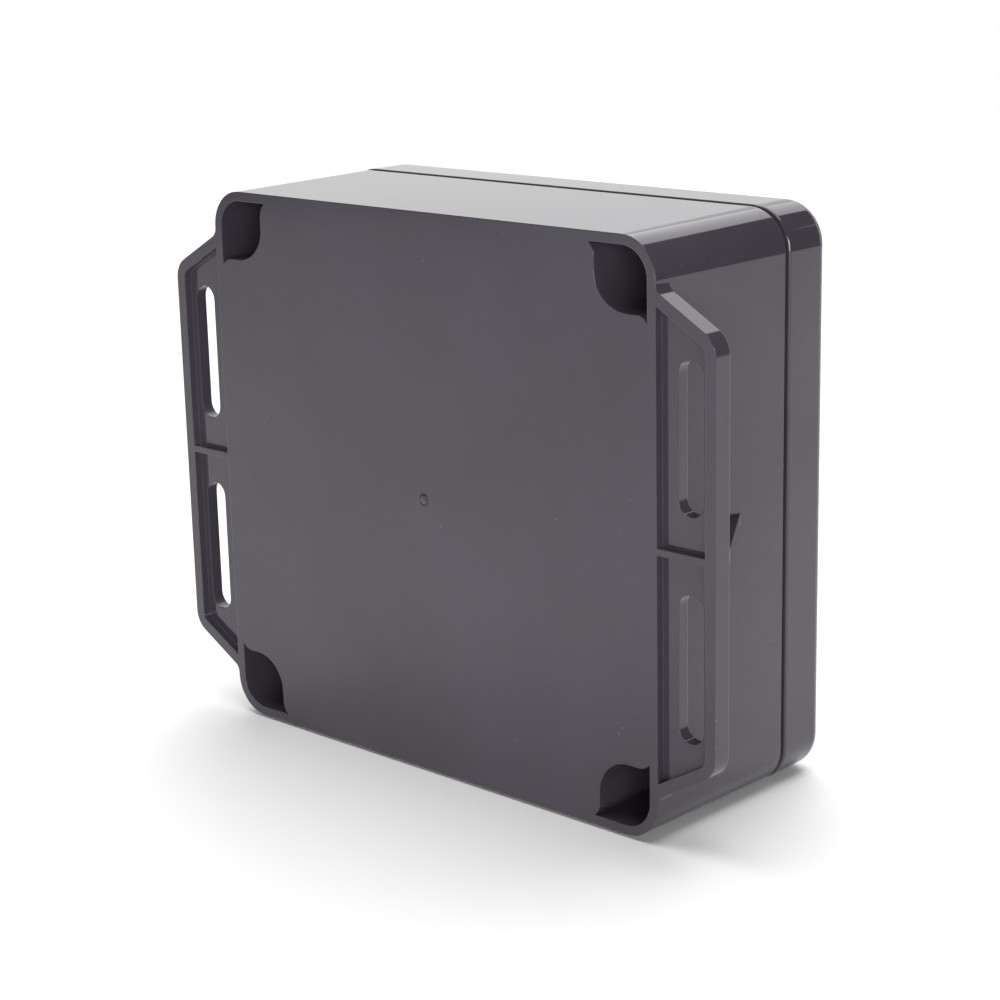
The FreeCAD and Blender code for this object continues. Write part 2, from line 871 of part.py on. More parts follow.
def make_button(name, z, dim):
    """Small push switch and its plunger, which stands proud by more than its stroke."""
    face = dim.board_lift + dim.board_thick
    case = block(f"{name}Case", dim.button_across, z, face, dim.button_size, dim.button_size,
                 dim.button_thick)
    seat = face + dim.button_thick - 1.6
    well = peg(f"{name}Well", dim.button_across, z, seat, dim.plunger_radius + 0.08, 1.6)
    switch = cut(f"{name}_switch", case, well)
    plunger = peg(f"{name}_plunger", dim.button_across, z, seat + dim.plunger_stroke + 0.1,
                  dim.plunger_radius, 2.4)
    return [switch, plunger]


# ---------------------------------------------------------------- antennas


def make_antenna(side, across, dim):
    """Antenna board on an adhesive strip against the side wall, with its printed element."""
    wall_x = dim.body_width / 2 - dim.wall
    strip_x = across * (wall_x - dim.adhesive_thick / 2)
    board_x = across * (wall_x - dim.adhesive_thick - dim.antenna_thick / 2)
    trace_x = across * (wall_x - dim.adhesive_thick - dim.antenna_thick - 0.05)
    low = 8.0
    strip = block(f"adhesive_strip_{side}", strip_x, 0.0, low + 4.0, dim.adhesive_thick,
                  dim.antenna_height - 12.0, dim.antenna_span - 8.0)
    board = block(f"antenna_board_{side}", board_x, 0.0, low, dim.antenna_thick,
                  dim.antenna_height, dim.antenna_span)
    bars = []
    for number in range(7):
        z = -dim.antenna_height / 2 + 6.0 + number * 6.0
        bars.append(block(f"Bar{side}{number}", trace_x, z, low + 3.0, 0.1, 1.6, 12.0))
        if number:
            lift = low + 3.0 + (10.4 if number % 2 else 0.0)
            bars.append(block(f"Link{side}{number}", trace_x, z - 3.0, lift, 0.1, 6.0, 1.6))
    arm_height = dim.antenna_height - 10.0
    bars.append(block(f"Ground{side}", trace_x, 0.0, low + 17.5, 0.1, arm_height, 2.6))
    trace = fuse(f"antenna_element_{side}", bars)
    return [strip, board, trace]


def make_coax(side, across, dim):
    """Thin coaxial lead from the board's plug to the antenna's feed point."""
    face = value_of(dim.board_lift) + value_of(dim.board_thick)
    wall_x = value_of(dim.body_width) / 2 - value_of(dim.wall)
    feed_x = wall_x - value_of(dim.adhesive_thick) - value_of(dim.antenna_thick) - 0.1
    route = [
        FreeCAD.Vector(across * 41.2, -(face + 1.1), 31.0),
        FreeCAD.Vector(across * 48.0, -(face + 1.1), 31.0),
        FreeCAD.Vector(across * 48.5, -26.8, 12.0),
        FreeCAD.Vector(across * feed_x, -26.8, 12.0),
    ]
    wire = rounded_route(route, value_of(dim.coax_bend))
    start = wire.Edges[0]
    section = Part.Wire(
        Part.makeCircle(value_of(dim.coax_radius), start.Vertexes[0].Point, route[1] - route[0])
    )
    lead = doc.addObject("Part::Feature", f"coax_lead_{side}")
    lead.Shape = wire.makePipeShell([section], True, False)
    return lead


def rounded_route(points, radius):
    """Straight runs joined by tangent arcs."""
    edges = []
    here = points[0]
    for before, corner, after in zip(points, points[1:], points[2:]):
        inward = (before - corner).normalize()
        outward = (after - corner).normalize()
        half = inward.getAngle(outward) / 2
        reach = radius / math.tan(half)
        start = corner + inward * reach
        stop = corner + outward * reach
        bisector = (inward + outward).normalize()
        middle = corner + bisector * (radius / math.sin(half) - radius)
        edges.append(Part.makeLine(here, start))
        edges.append(Part.Arc(start, middle, stop).toShape())
        here = stop
    edges.append(Part.makeLine(here, points[-1]))
    return Part.Wire(edges)


def make_coax_plug(side, across, dim):
    face = dim.board_lift + dim.board_thick
    plug = peg(f"Plug{side}", across * 39.6, 31.0, face, 1.6, 1.9)
    crown = peg(f"Crown{side}", across * 39.6, 31.0, face + 1.9, 1.1, 0.4)
    return fuse(f"coax_plug_{side}", [plug, crown])


# ---------------------------------------------------------------- bottom wall fittings


def make_grommet(dim):
    """Rubber cable seal: a lip set flush in the wall, a neck, an inner lip and a sleeve."""
    x, lift = dim.jack_across, dim.entry_lift
    inner_face = -dim.body_height / 2 + dim.wall
    outer_face = -dim.body_height / 2
    radius = dim.entry_radius
    layers = [
        post_up("GrommetLip", x, lift, outer_face, dim.entry_lip_radius, dim.entry_lip),
        post_up("GrommetNeck", x, lift, outer_face, radius - 0.05, dim.wall + 1.0),
        post_up("GrommetInner", x, lift, inner_face, radius + 1.8, 1.6),
        post_up("GrommetSleeve", x, lift, inner_face, dim.entry_bore_radius + 1.6, 8.0),
    ]
    solid = fuse("GrommetSolid", layers)
    bore = post_up("GrommetBore", x, lift, outer_face, dim.entry_bore_radius, dim.wall + 9.0)
    return cut("cable_grommet", solid, bore)


def make_vent(dim):
    """Breather plug pressed into the bottom wall, with its membrane behind four holes."""
    x, lift = dim.vent_across, dim.entry_lift
    outer_face = -dim.body_height / 2
    lip = post_up("VentLip", x, lift, outer_face, dim.vent_lip_radius, dim.entry_lip)
    neck = post_up("VentNeck", x, lift, outer_face, dim.vent_radius - 0.05, dim.wall + 3.0)
    solid = fuse("VentSolid", [lip, neck])
    well = post_up("VentWell", x, lift, outer_face + 1.4, dim.vent_radius - 1.4, dim.wall + 3.0)
    holes = [well]
    for number, (across, up) in enumerate(CORNERS):
        holes.append(
            post_up(f"VentHole{number}", x + across * 1.3, lift + up * 1.3, outer_face, 0.6, 3.0)
        )
    plug = cut("vent_plug", solid, fuse("VentCuts", holes))
    membrane = post_up("vent_membrane", x, lift, outer_face + 1.4, dim.vent_radius - 1.5, 0.4)
    return [plug, membrane]


# ---------------------------------------------------------------- the whole node


def make_parts(dim):
    face = dim.board_lift + dim.board_thick
    posts_lift = dim.leaf_depth + dim.leaf_floor + 0.1
    nodes = [
        make_housing(dim),
        make_lid(dim),
        make_gasket(dim),
        make_light_pipe(dim),
        make_lid_screws(dim),
        make_rings("screw_washers", dim, corner_spots(dim), dim.leaf_depth - dim.washer_thick,
                   dim.lid_screw_head_radius + 0.5, dim.lid_screw_radius + 0.2, dim.washer_thick),
        make_rings("lid_inserts", dim, corner_spots(dim), posts_lift,
                   dim.insert_radius, dim.lid_screw_radius + 0.05, dim.insert_length),
        make_board(dim),
        make_board_screws(dim),
        block("wifi_processor", dim.sink_across, dim.sink_up, face, 19.0, 19.0, dim.chip_thick),
        block("thermal_pad", dim.sink_across, dim.sink_up, face + dim.chip_thick, 18.0, 18.0,
              dim.pad_thick),
        make_heat_sink(dim),
        block("memory_chip", 31.0, 12.0, face, 9.0, 13.5, 1.1),
        block("flash_chip", -18.0, 14.0, face, 8.0, 6.0, 0.9),
        block("clock_crystal", -18.0, 5.0, face, 5.0, 3.2, 1.0),
        make_jack(dim),
        make_jack_contacts(dim),
        block("lan_transformer", -22.0, -12.0, face, 16.0, 10.0, 5.8),
        make_power_transformer(dim),
        make_capacitors(dim),
        make_inductor(dim),
        make_passives(dim),
        block("status_led", dim.pipe_across, dim.pipe_up, face, 3.2, 1.6, 1.1),
        make_grommet(dim),
    ]
    nodes.extend(make_vent(dim))
    nodes.extend(make_button("reset", -4.0, dim))
    nodes.extend(make_button("pairing", 10.0, dim))
    for side, across in SIDES.items():
        nodes.append(make_shield(side, across, dim))
        nodes.append(
            block(f"radio_chip_{side}", across * dim.shield_across, dim.shield_up, face, 9.0, 9.0, 0.9)
        )
        nodes.extend(make_antenna(side, across, dim))
        nodes.append(make_coax(side, across, dim))
        nodes.append(make_coax_plug(side, across, dim))
    for node in nodes:
        node.Label = node.Name
    return nodes


def check_and_export(nodes):
    """Stop on any failed feature, then write one STEP file for each node."""
    doc.recompute()
    doc.recompute()
    for item in doc.Objects:
        if "Invalid" in item.State or "Error" in item.State:
            raise RuntimeError(f"{item.Name} ({item.Label}) failed: {item.State}")
    os.makedirs("parts", exist_ok=True)
    for node in nodes:
        shape = node.Shape
        if hasattr(node, "Tip") and abs(shape.Volume - node.Tip.Shape.Volume) > 1e-6:
            raise RuntimeError(f"{node.Label} is not up to date with its last feature")
        if shape.isNull() or not shape.isValid() or not shape.Solids:
            raise RuntimeError(f"{node.Label} has no valid solid")
        shape.exportStep(os.path.join("parts", f"{node.Label}.step"))
        print(f"{node.Label}: {len(shape.Solids)} solid(s), {shape.Volume:.1f} mm3")


check_and_export(make_parts(make_sheet()))
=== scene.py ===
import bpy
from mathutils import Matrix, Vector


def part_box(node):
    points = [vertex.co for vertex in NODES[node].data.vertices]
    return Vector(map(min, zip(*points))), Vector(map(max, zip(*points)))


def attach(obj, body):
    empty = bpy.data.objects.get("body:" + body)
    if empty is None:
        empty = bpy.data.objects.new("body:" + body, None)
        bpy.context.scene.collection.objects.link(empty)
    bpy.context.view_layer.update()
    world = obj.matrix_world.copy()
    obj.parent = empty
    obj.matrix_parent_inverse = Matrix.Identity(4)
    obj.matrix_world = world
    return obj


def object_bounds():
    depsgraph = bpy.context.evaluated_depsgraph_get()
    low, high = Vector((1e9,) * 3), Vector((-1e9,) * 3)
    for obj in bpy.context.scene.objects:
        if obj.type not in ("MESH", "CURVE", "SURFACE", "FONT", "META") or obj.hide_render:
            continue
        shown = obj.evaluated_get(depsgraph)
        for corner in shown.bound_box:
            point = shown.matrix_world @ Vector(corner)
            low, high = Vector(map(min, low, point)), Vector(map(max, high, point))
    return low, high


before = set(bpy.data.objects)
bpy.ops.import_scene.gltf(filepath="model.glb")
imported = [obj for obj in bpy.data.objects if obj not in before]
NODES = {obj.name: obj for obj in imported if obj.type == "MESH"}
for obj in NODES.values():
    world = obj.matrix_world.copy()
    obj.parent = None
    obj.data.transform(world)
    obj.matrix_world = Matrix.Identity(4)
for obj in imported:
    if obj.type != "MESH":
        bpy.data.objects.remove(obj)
cad_box = [list(corner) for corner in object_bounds()]

import math

import bmesh
import bpy
from mathutils import Matrix, Vector

MM = 0.001


# ---------------------------------------------------------------- materials


class Look:
    """A Principled material built from texture nodes, in the object's own coordinates."""

    def __init__(self, name):
        self.material = bpy.data.materials.new(name)
        self.material.use_nodes = True
        self.tree = self.material.node_tree
        self.shader = self.tree.nodes["Principled BSDF"]
        self.place = self.tree.nodes.new("ShaderNodeTexCoord").outputs["Object"]

    def node(self, kind, inputs=None, **props):
        node = self.tree.nodes.new(kind)
        for key, value in props.items():
            setattr(node, key, value)
        for key, value in (inputs or {}).items():
            self.feed(node.inputs[key], value)
        return node

    def feed(self, socket, value):
        if isinstance(value, bpy.types.NodeSocket):
            self.tree.links.new(value, socket)
        else:
            socket.default_value = value

    def stretched(self, scale):
        return self.node(
            "ShaderNodeMapping", {"Vector": self.place, "Scale": scale}
        ).outputs["Vector"]

    def noise(self, scale, detail=3.0, roughness=0.5, vector=None):
        return self.node("ShaderNodeTexNoise", {
            "Vector": vector or self.place,
            "Scale": scale,
            "Detail": detail,
            "Roughness": roughness,
        }).outputs["Fac"]

    def remap(self, value, low, high, to_low=0.0, to_high=1.0):
        return self.node("ShaderNodeMapRange", {
            "Value": value,
            "From Min": low,
            "From Max": high,
            "To Min": to_low,
            "To Max": to_high,
        }).outputs["Result"]

    def math(self, operation, first, second=0.5):
        node = self.node("ShaderNodeMath", operation=operation)
        self.feed(node.inputs[0], first)
        self.feed(node.inputs[1], second)
        return node.outputs["Value"]

    def mix(self, factor, first, second, blend="MIX"):
        node = self.node("ShaderNodeMix", data_type="RGBA", blend_type=blend)
        self.feed(node.inputs["Factor"], factor)
        colour_inputs = [item for item in node.inputs if item.type == "RGBA"]
        for socket, value in zip(colour_inputs, (first, second)):
            if isinstance(value, tuple) and len(value) == 3:
                value = (*value, 1.0)
            self.feed(socket, value)
        return [item for item in node.outputs if item.type == "RGBA"][0]

    def bump(self, height, distance, strength=1.0, normal=None):
        inputs = {"Height": height, "Distance": distance, "Strength": strength}
        if normal is not None:
            inputs["Normal"] = normal
        return self.node("ShaderNodeBump", inputs).outputs["Normal"]

    def round_edges(self, radius):
        return self.node("ShaderNodeBevel", {"Radius": radius}, samples=6).outputs["Normal"]

    def finish(self, colour, roughness, normal=None, **inputs):
        if isinstance(colour, tuple):
            colour = (*colour, 1.0)
        self.feed(self.shader.inputs["Base Color"], colour)
        self.feed(self.shader.inputs["Roughness"], roughness)
        if normal is not None:
            self.feed(self.shader.inputs["Normal"], normal)
        for key, value in inputs.items():
            self.feed(self.shader.inputs[key.replace("_", " ")], value)
        return self.material


def case_plastic(name, colour, gate=False):
    """Glossy moulded plastic: faint flow clouding, dust specks, rub marks, soft edges."""
    look = Look(name)
    cells_per_metre = 330.0
    edge_radius = 0.24 * MM
    wave_depth = 0.10 * MM
    grain_depth = 0.004 * MM
    dark = tuple(c * 0.90 for c in colour)
    light = tuple(c * 1.12 for c in colour)
    flow = look.noise(22.0, 4.0, 0.55)
    base = look.mix(look.remap(flow, 0.35, 0.65), dark, light)
    speck_cells = look.node(
        "ShaderNodeTexVoronoi", {"Vector": look.place, "Scale": cells_per_metre}
    )
    speck = look.remap(speck_cells.outputs["Distance"], 0.03, 0.07, 1.0, 0.0)
    patch = look.remap(look.noise(70.0, 2.0), 0.56, 0.66)
    dust = look.math("MULTIPLY", look.math("MULTIPLY", speck, patch), 0.55)
    base = look.mix(dust, base, (0.20, 0.19, 0.20))
    rub = look.remap(look.noise(1.0, 2.0, 0.5, look.stretched((700.0, 700.0, 35.0))), 0.66, 0.84)
    smear = look.remap(look.noise(55.0, 5.0), 0.35, 0.7, 0.045, 0.085)
    rough = look.math("ADD", smear, look.math("MULTIPLY", rub, 0.06))
    edge = look.round_edges(edge_radius)
    wave = look.bump(look.noise(30.0, 1.0, 0.3), wave_depth, 0.5, edge)
    normal = look.bump(look.noise(1500.0, 2.0, 0.5), grain_depth, 0.3, wave)
    if gate:
        normal = gate_scar(look, normal)
    return look.finish(base, rough, normal, IOR=1.52, Specular_Tint=(0.97, 0.94, 1.0, 1.0))


def gate_scar(look, normal):
    """Torn stub left inside the gate ring at the middle of the back."""
    reach = look.node("ShaderNodeVectorMath", operation="LENGTH")
    look.feed(reach.inputs[0], look.place)
    core_radius, fade_radius, scar_depth = 0.2 * MM, 1.5 * MM, 0.9 * MM
    near = look.remap(reach.outputs["Value"], core_radius, fade_radius, 1.0, 0.0)
    torn = look.math("MULTIPLY", look.noise(1400.0, 3.0, 0.6), near)
    return look.bump(torn, scar_depth, 1.0, normal)


def rubber(name, colour, rough=0.62, rings_at=None):
    """Matt rubber with a fine grain, and moulded rings about one point where it is a seal."""
    look = Look(name)
    light = tuple(c * 1.5 + 0.01 for c in colour)
    base = look.mix(look.remap(look.noise(120.0, 4.0), 0.4, 0.7), colour, light)
    grain = look.bump(look.noise(2200.0, 3.0, 0.6), 0.03 * MM, 0.7, look.round_edges(0.3 * MM))
    if rings_at is not None:
        ring_waves, ring_depth = 3600.0, 0.12 * MM
        centred = look.node("ShaderNodeMapping", {"Vector": look.place, "Location": rings_at})
        flat = look.node("ShaderNodeVectorMath", operation="MULTIPLY")
        look.feed(flat.inputs[0], centred.outputs["Vector"])
        flat.inputs[1].default_value = (1.0, 1.0, 0.0)
        reach = look.node("ShaderNodeVectorMath", operation="LENGTH")
        look.feed(reach.inputs[0], flat.outputs["Vector"])
        ridge = look.math("SINE", look.math("MULTIPLY", reach.outputs["Value"], ring_waves))
        grain = look.bump(ridge, ring_depth, 0.8, grain)
    rough_map = look.remap(look.noise(400.0, 3.0), 0.3, 0.7, rough - 0.1, rough + 0.1)
    return look.finish(base, rough_map, grain)


def metal(name, colour, rough, brush=(1800.0, 1800.0, 60.0)):
    """Brushed or drawn metal with patches of tarnish; brush is the streaks' scale per axis."""
    look = Look(name)
    dull = tuple(c * 0.72 for c in colour)
    tarnish = look.remap(look.noise(260.0, 5.0, 0.6), 0.42, 0.72)
    base = look.mix(look.math("MULTIPLY", tarnish, 0.6), colour, dull)
    lines = look.noise(1.0, 3.0, 0.6, look.stretched(brush))
    rough_map = look.math("ADD", look.remap(lines, 0.3, 0.7, rough * 0.75, rough * 1.3),
                          look.math("MULTIPLY", tarnish, 0.08))
    normal = look.bump(lines, 0.008 * MM, 0.6, look.round_edges(0.12 * MM))
    return look.finish(base, rough_map, normal, Metallic=1.0)


def resin(name, colour, rough=0.5, scale=900.0, grain_depth=0.02):
    """Moulded chip body, tape, ceramic or switch case."""
    look = Look(name)
    light = tuple(min(1.0, c * 1.35 + 0.008) for c in colour)
    base = look.mix(look.remap(look.noise(scale * 0.4, 4.0), 0.35, 0.7), colour, light)
    rough_map = look.remap(look.noise(scale * 0.6, 3.0), 0.3, 0.7, rough - 0.08, rough + 0.1)
    normal = look.bump(look.noise(scale * 4.0, 2.0), grain_depth * MM, 0.6,
                       look.round_edges(0.12 * MM))
    return look.finish(base, rough_map, normal)


def laminate(name, mask, copper, density):
    """Circuit board: copper runs and pads seen through a coloured mask."""
    look = Look(name)
    runs = look.node("ShaderNodeTexBrick", {
        "Vector": look.node("ShaderNodeMapping", {
            "Vector": look.place, "Rotation": (math.radians(90.0), 0.0, 0.0)
        }).outputs["Vector"],
        "Scale": density,
        "Mortar Size": 0.035,
        "Mortar Smooth": 0.1,
        "Bias": 0.0,
        "Brick Width": 1.7,
        "Row Height": 0.36,
    }, offset=0.37, squash=1.6, squash_frequency=3)
    zones = look.remap(look.noise(95.0, 1.0, 0.3), 0.46, 0.52)
    run = look.math("MULTIPLY", runs.outputs["Fac"], zones)
    dots = look.node("ShaderNodeTexVoronoi", {"Vector": look.place, "Scale": density * 2.6})
    via = look.remap(dots.outputs["Distance"], 0.11, 0.14, 1.0, 0.0)
    ring = look.math("MULTIPLY", via, look.remap(look.noise(60.0), 0.5, 0.56))
    base = look.mix(look.remap(look.noise(40.0, 3.0), 0.3, 0.7), mask,
                    tuple(c * 0.7 for c in mask))
    base = look.mix(look.math("MULTIPLY", run, 0.75), base, tuple(c * 2.1 + 0.01 for c in mask))
    base = look.mix(ring, base, copper)
    weave = look.bump(look.noise(1600.0, 2.0), 0.012 * MM, 0.5)
    normal = look.bump(run, 0.05 * MM, 0.8, weave)
    rough = look.remap(look.noise(300.0, 3.0), 0.3, 0.7, 0.26, 0.42)
    return look.finish(base, rough, normal)


def clear(name, colour):
    """Clear moulded plastic with a light haze."""
    look = Look(name)
    haze = look.noise(500.0, 3.0)
    base = look.mix(haze, colour, tuple(c * 0.94 for c in colour))
    normal = look.bump(look.noise(1500.0, 2.0), 0.01 * MM, 0.5, look.round_edges(0.15 * MM))
    return look.finish(base, look.remap(haze, 0.3, 0.7, 0.08, 0.2), normal,
                       Transmission_Weight=0.75, IOR=1.49)


CASE_COLOUR = (0.040, 0.0342, 0.0440)
LOOKS = {
    "case": case_plastic("case_plastic_look", CASE_COLOUR, gate=True),
    "lid": case_plastic("lid_plastic_look", CASE_COLOUR),
    "seal": rubber("seal_rubber_look", (0.018, 0.018, 0.02)),
    "grommet": rubber("grommet_rubber_look", (0.022, 0.022, 0.024), 0.58,
                      rings_at=(20.0 * MM, 20.0 * MM, 0.0)),
    "clear": clear("clear_plastic_look", (0.92, 0.95, 0.97)),
    "screw": metal("screw_steel_look", (0.62, 0.62, 0.60), 0.30),
    "brass": metal("insert_brass_look", (0.78, 0.56, 0.24), 0.32),
    "board": laminate("board_laminate_look", (0.012, 0.105, 0.045), (0.80, 0.62, 0.28), 260.0),
    "antenna": laminate("antenna_laminate_look", (0.02, 0.022, 0.026), (0.75, 0.5, 0.25), 200.0),
    "chip": resin("chip_black_look", (0.018, 0.018, 0.020), 0.48),
    "pad": resin("soft_pad_look", (0.28, 0.36, 0.50), 0.75, 1500.0, 0.05),
    "sink": metal("sink_aluminium_look", (0.80, 0.81, 0.83), 0.34, (60.0, 1800.0, 1800.0)),
    "tin": metal("tinned_steel_look", (0.72, 0.73, 0.74), 0.28, (1500.0, 1500.0, 90.0)),
    "gold": metal("gold_contact_look", (0.90, 0.66, 0.26), 0.22),
    "tape": resin("transformer_tape_look", (0.62, 0.42, 0.05), 0.30, 700.0),
    "can": metal("capacitor_can_look", (0.70, 0.71, 0.74), 0.24),
    "ferrite": resin("ferrite_look", (0.035, 0.034, 0.036), 0.66, 1200.0, 0.04),
    "ceramic": resin("ceramic_look", (0.42, 0.31, 0.19), 0.5, 2500.0),
    "crystal": metal("crystal_can_look", (0.82, 0.82, 0.82), 0.18),
    "led": resin("led_lens_look", (0.86, 0.84, 0.74), 0.22),
    "vent": resin("vent_plastic_look", (0.030, 0.030, 0.033), 0.5, 500.0),
    "membrane": resin("membrane_look", (0.80, 0.80, 0.78), 0.8, 2500.0, 0.06),
    "switch": resin("switch_black_look", (0.022, 0.022, 0.024), 0.42),
    "plunger": resin("plunger_white_look", (0.74, 0.73, 0.70), 0.40),
    "foam": resin("foam_tape_look", (0.78, 0.78, 0.74), 0.85, 1800.0, 0.08),
    "copper": metal("copper_look", (0.82, 0.46, 0.27), 0.26),
    "coax": rubber("coax_jacket_look", (0.030, 0.030, 0.032), 0.42),
}

NODE_LOOKS = {
    "rear_housing": "case",
    "front_lid": "lid",
    "lid_gasket": "seal",
    "light_pipe": "clear",
    "lid_screws": "screw",
    "screw_washers": "seal",
    "lid_inserts": "brass",
    "main_board": "board",
    "board_screws": "screw",
    "wifi_processor": "chip",
    "thermal_pad": "pad",
    "heat_sink": "sink",
    "memory_chip": "chip",
    "flash_chip": "chip",
    "clock_crystal": "crystal",
    "ethernet_jack": "tin",
    "jack_contacts": "gold",
    "lan_transformer": "chip",
    "power_transformer": "tape",
    "power_capacitors": "can",
    "power_inductor": "ferrite",
    "chip_passives": "ceramic",
    "status_led": "led",
    "cable_grommet": "grommet",
    "vent_plug": "vent",
    "vent_membrane": "membrane",
    "reset_switch": "switch",
    "reset_plunger": "plunger",
    "pairing_switch": "switch",
    "pairing_plunger": "plunger",
}
for hand in ("left", "right"):
    NODE_LOOKS.update({
        f"radio_shield_{hand}": "tin",
        f"radio_chip_{hand}": "chip",
        f"adhesive_strip_{hand}": "foam",
        f"antenna_board_{hand}": "antenna",
        f"antenna_element_{hand}": "copper",
        f"coax_lead_{hand}": "coax",
        f"coax_plug_{hand}": "gold",
    })


def dress_nodes():
    for name, node in NODES.items():
        node.data.materials.clear()
        node.data.materials.append(LOOKS[NODE_LOOKS[name]])


# ---------------------------------------------------------------- board details


def piece(name, build, look, body="housing"):
    """New mesh piece, with one of the looks as its material, that rides on a CAD body."""
    mesh = bmesh.new()
    build(mesh)
    bmesh.ops.recalc_face_normals(mesh, faces=mesh.faces)
    data = bpy.data.meshes.new(name)
    mesh.to_mesh(data)
    mesh.free()
    item = bpy.data.objects.new(name, data)
    bpy.context.scene.collection.objects.link(item)
    data.materials.append(LOOKS[look])
    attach(item, body)


def brick(mesh, low, high):
    middle = (Vector(low) + Vector(high)) / 2
    size = Vector(high) - Vector(low)
    bmesh.ops.create_cube(
        mesh, size=1.0, matrix=Matrix.Translation(middle) @ Matrix.Diagonal((*size, 1.0))
    )


def disc(mesh, x, z, back, front, radius, segments=24, taper=1.0):
    """Round boss standing forward of the board, between two heights along -Y."""
    bmesh.ops.create_cone(
        mesh, cap_ends=True, segments=segments, radius1=radius, radius2=radius * taper,
        depth=back - front,
        matrix=Matrix.Translation((x, (back + front) / 2, z)) @ Matrix.Rotation(
            math.radians(90.0), 4, "X"),
    )


def tube(mesh, points, radius, sides=10):
    """Round wire through the points."""
    rings = []
    for index, point in enumerate(points):
        ahead = points[min(index + 1, len(points) - 1)] - points[max(index - 1, 0)]
        turn = ahead.to_track_quat("Z", "Y").to_matrix()
        ring = []
        for step in range(sides):
            angle = 2.0 * math.pi * step / sides
            offset = turn @ Vector((math.cos(angle), math.sin(angle), 0.0)) * radius
            ring.append(mesh.verts.new(point + offset))
        rings.append(ring)
    for first, second in zip(rings, rings[1:]):
        for step in range(sides):
            after = (step + 1) % sides
            mesh.faces.new((first[step], first[after], second[after], second[step]))
    mesh.faces.new(rings[0])
    mesh.faces.new(rings[-1][::-1])


def ribbon(mesh, path, across, width, thick):
    """Bent strip: path lists (sideways, y) pairs and across maps them and a width to 3-D."""
    loops = []
    for side in (-width / 2, width / 2):
        lower = [mesh.verts.new(across(u, y, side)) for u, y in path]
        upper = [mesh.verts.new(across(u, y - thick, side)) for u, y in path]
        loops.append(lower + upper[::-1])
    count = len(loops[0])
    for step in range(count):
        after = (step + 1) % count
        mesh.faces.new((loops[0][step], loops[0][after], loops[1][after], loops[1][step]))
    for loop in loops:
        half = count // 2
        for step in range(half - 1):
            mesh.faces.new((
                loop[step], loop[step + 1], loop[count - 2 - step], loop[count - 1 - step]
            ))


def leads(node, axis, count, pitch, reach=0.95 * MM):
    """Gull-wing leads down two opposite sides of a chip, the sides that face along axis."""
    low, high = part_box(node)
    face = high[1]
    other = 2 if axis == 0 else 0
    root_depth, shoulder_rise, foot_rise = 0.05 * MM, 0.40 * MM, 0.02 * MM
    lead_width, lead_thick = 0.38 * pitch, 0.14 * MM
    middle = (low[other] + high[other]) / 2

    def build(mesh):
        for side in (-1, 1):
            edge = high[axis] if side > 0 else low[axis]
            path = [
                (edge - side * root_depth, face - shoulder_rise),
                (edge + side * reach * 0.35, face - shoulder_rise),
                (edge + side * reach * 0.60, face - foot_rise),
                (edge + side * reach, face - foot_rise),
            ]
            for number in range(count):
                place = middle + (number - (count - 1) / 2) * pitch

                def across(u, y, shift, place=place):
                    spot = [0.0, y, 0.0]
                    spot[axis] = u
                    spot[other] = place + shift
                    return Vector(spot)

                ribbon(mesh, path, across, lead_width, lead_thick)

    return build


def outlines(mesh):
    """Printed outlines round the larger parts, with no lettering."""
    names = ["wifi_processor", "memory_chip", "flash_chip", "clock_crystal", "lan_transformer",
             "power_transformer", "power_inductor", "reset_switch", "pairing_switch",
             "ethernet_jack", "radio_shield_left", "radio_shield_right"]
    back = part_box("main_board")[0][1]
    front = back - 0.02 * MM
    line = 0.16 * MM
    gap = 1.25 * MM
    for name in names:
        low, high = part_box(name)
        left, right = low[0] - gap, high[0] + gap
        down, up = low[2] - gap, high[2] + gap
        brick(mesh, (left, front, down), (right, back, down + line))
        brick(mesh, (left, front, up - line), (right, back, up))
        brick(mesh, (left, front, down + line), (left + line, back, up - line))
        brick(mesh, (right - line, front, down + line), (right, back, up - line))


def test_points(mesh):
    """A block of gold test points in three rows, and two rows of smaller ones."""
    board_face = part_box("main_board")[0][1]
    raised_face = board_face - 0.04 * MM
    for row in range(3):
        for column in range(6):
            disc(mesh, (-37.5 + 2.2 * column) * MM, (20.0 + 2.4 * row) * MM, board_face,
                 raised_face, 0.55 * MM, 20)
    for number in range(9):
        row, column = divmod(number, 5)
        disc(mesh, (25.0 + 1.9 * column) * MM, (-2.0 - 2.2 * row) * MM, board_face,
             raised_face, 0.5 * MM, 20)


def shield_joints(mesh):
    """Solder fillets where the radio cans meet the board."""
    joints, radius, height, tip_share = 8, 0.7 * MM, 0.5 * MM, 0.25
    for hand in ("left", "right"):
        low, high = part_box(f"radio_shield_{hand}")
        face = high[1]
        for number in range(joints):
            x = low[0] + (number + 0.5) * (high[0] - low[0]) / joints
            for z in (low[2], high[2]):
                disc(mesh, x, z, face, face - height, radius, 14, tip_share)


def winding(mesh):
    """Copper turns wound on the inductor's core."""
    low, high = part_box("power_inductor")
    x, z = (low[0] + high[0]) / 2, (low[2] + high[2]) / 2
    turns, steps = 6, 28
    coil_radius, wire_radius = 4.05 * MM, 0.24 * MM
    back, front = high[1] - 1.25 * MM, low[1] + 1.05 * MM
    points = []
    for step in range(turns * steps + 1):
        angle = 2.0 * math.pi * step / steps
        y = back + (front - back) * step / (turns * steps)
        across, along = coil_radius * math.cos(angle), coil_radius * math.sin(angle)
        points.append(Vector((x + across, y, z + along)))
    tube(mesh, points, wire_radius, 8)


